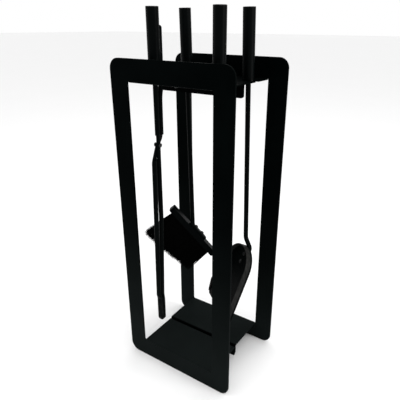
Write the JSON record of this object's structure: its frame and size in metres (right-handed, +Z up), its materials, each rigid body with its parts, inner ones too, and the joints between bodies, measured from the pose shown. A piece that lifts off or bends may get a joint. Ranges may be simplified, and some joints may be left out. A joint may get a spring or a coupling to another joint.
{
  "type": "fireplace tool set",
  "caption": "Fireplace tool stand of black steel ring frames joined by a base shelf and a slotted rest, holding a poker, brush, shovel and tongs with plain tube handles.",
  "frame": {"origin": "on the floor at the middle of the stand's footprint, half way between the two ring frames", "axes": "+Z up, +X to the right along the ring frames' width, -Y towards the front; the handles stand up along +Z"},
  "size_m": [0.2635, 0.18, 0.6777],
  "materials": {
    "stand_paint": "satin black powder coat",
    "handle_paint": "satin black powder coat",
    "tool_paint": "satin black powder coat",
    "fastener": "black oxide",
    "brush_block": "black lacquer",
    "bristle": "coarse black fibre"
  },
  "bodies": {
    "stand": {"base_bolts": "fastener", "base_nuts": "fastener", "base_washers": "fastener", "front_base_shelf": "stand_paint", "front_frame": "stand_paint", "front_tool_rest": "stand_paint", "rear_base_shelf": "stand_paint", "rear_frame": "stand_paint", "rear_tool_rest": "stand_paint", "rest_bolts": "fastener", "rest_nuts": "fastener", "rest_washers": "fastener"},
    "poker": {"poker_handle": "handle_paint", "poker_handle_cap": "handle_paint", "poker_handle_collar": "handle_paint", "poker_hook": "tool_paint", "poker_rod": "tool_paint"},
    "brush": {"brush_block": "brush_block", "brush_bristles": "bristle", "brush_handle": "handle_paint", "brush_handle_cap": "handle_paint", "brush_handle_collar": "handle_paint", "brush_rod": "tool_paint", "brush_screws": "fastener"},
    "shovel": {"shovel_handle": "handle_paint", "shovel_handle_cap": "handle_paint", "shovel_handle_collar": "handle_paint", "shovel_pan": "tool_paint", "shovel_rivets": "fastener", "shovel_rod": "tool_paint"},
    "tongs": {"tongs_handle": "handle_paint", "tongs_handle_cap": "handle_paint", "tongs_handle_collar": "handle_paint", "tongs_main_arm": "tool_paint", "tongs_pivot_rivet": "fastener"},
    "tongs_arm": {"tongs_lever_arm": "tool_paint"}
  },
  "joints": [
    {"name": "poker_out", "type": "slide", "parent": "stand", "child": "poker", "axis": [1, 0, 0], "range_m": [0, 0.18]},
    {"name": "brush_out", "type": "slide", "parent": "stand", "child": "brush", "axis": [-1, 0, 0], "range_m": [0, 0.18]},
    {"name": "shovel_out", "type": "slide", "parent": "stand", "child": "shovel", "axis": [1, 0, 0], "range_m": [0, 0.18]},
    {"name": "tongs_out", "type": "slide", "parent": "stand", "child": "tongs", "axis": [-1, 0, 0], "range_m": [0, 0.18]},
    {"name": "tongs_open", "type": "hinge", "parent": "tongs", "child": "tongs_arm", "pos_m": [-0.0621, -0.04505, 0.45095], "axis": [-1, 0, 0], "range_deg": [0, 8]}
  ]
}
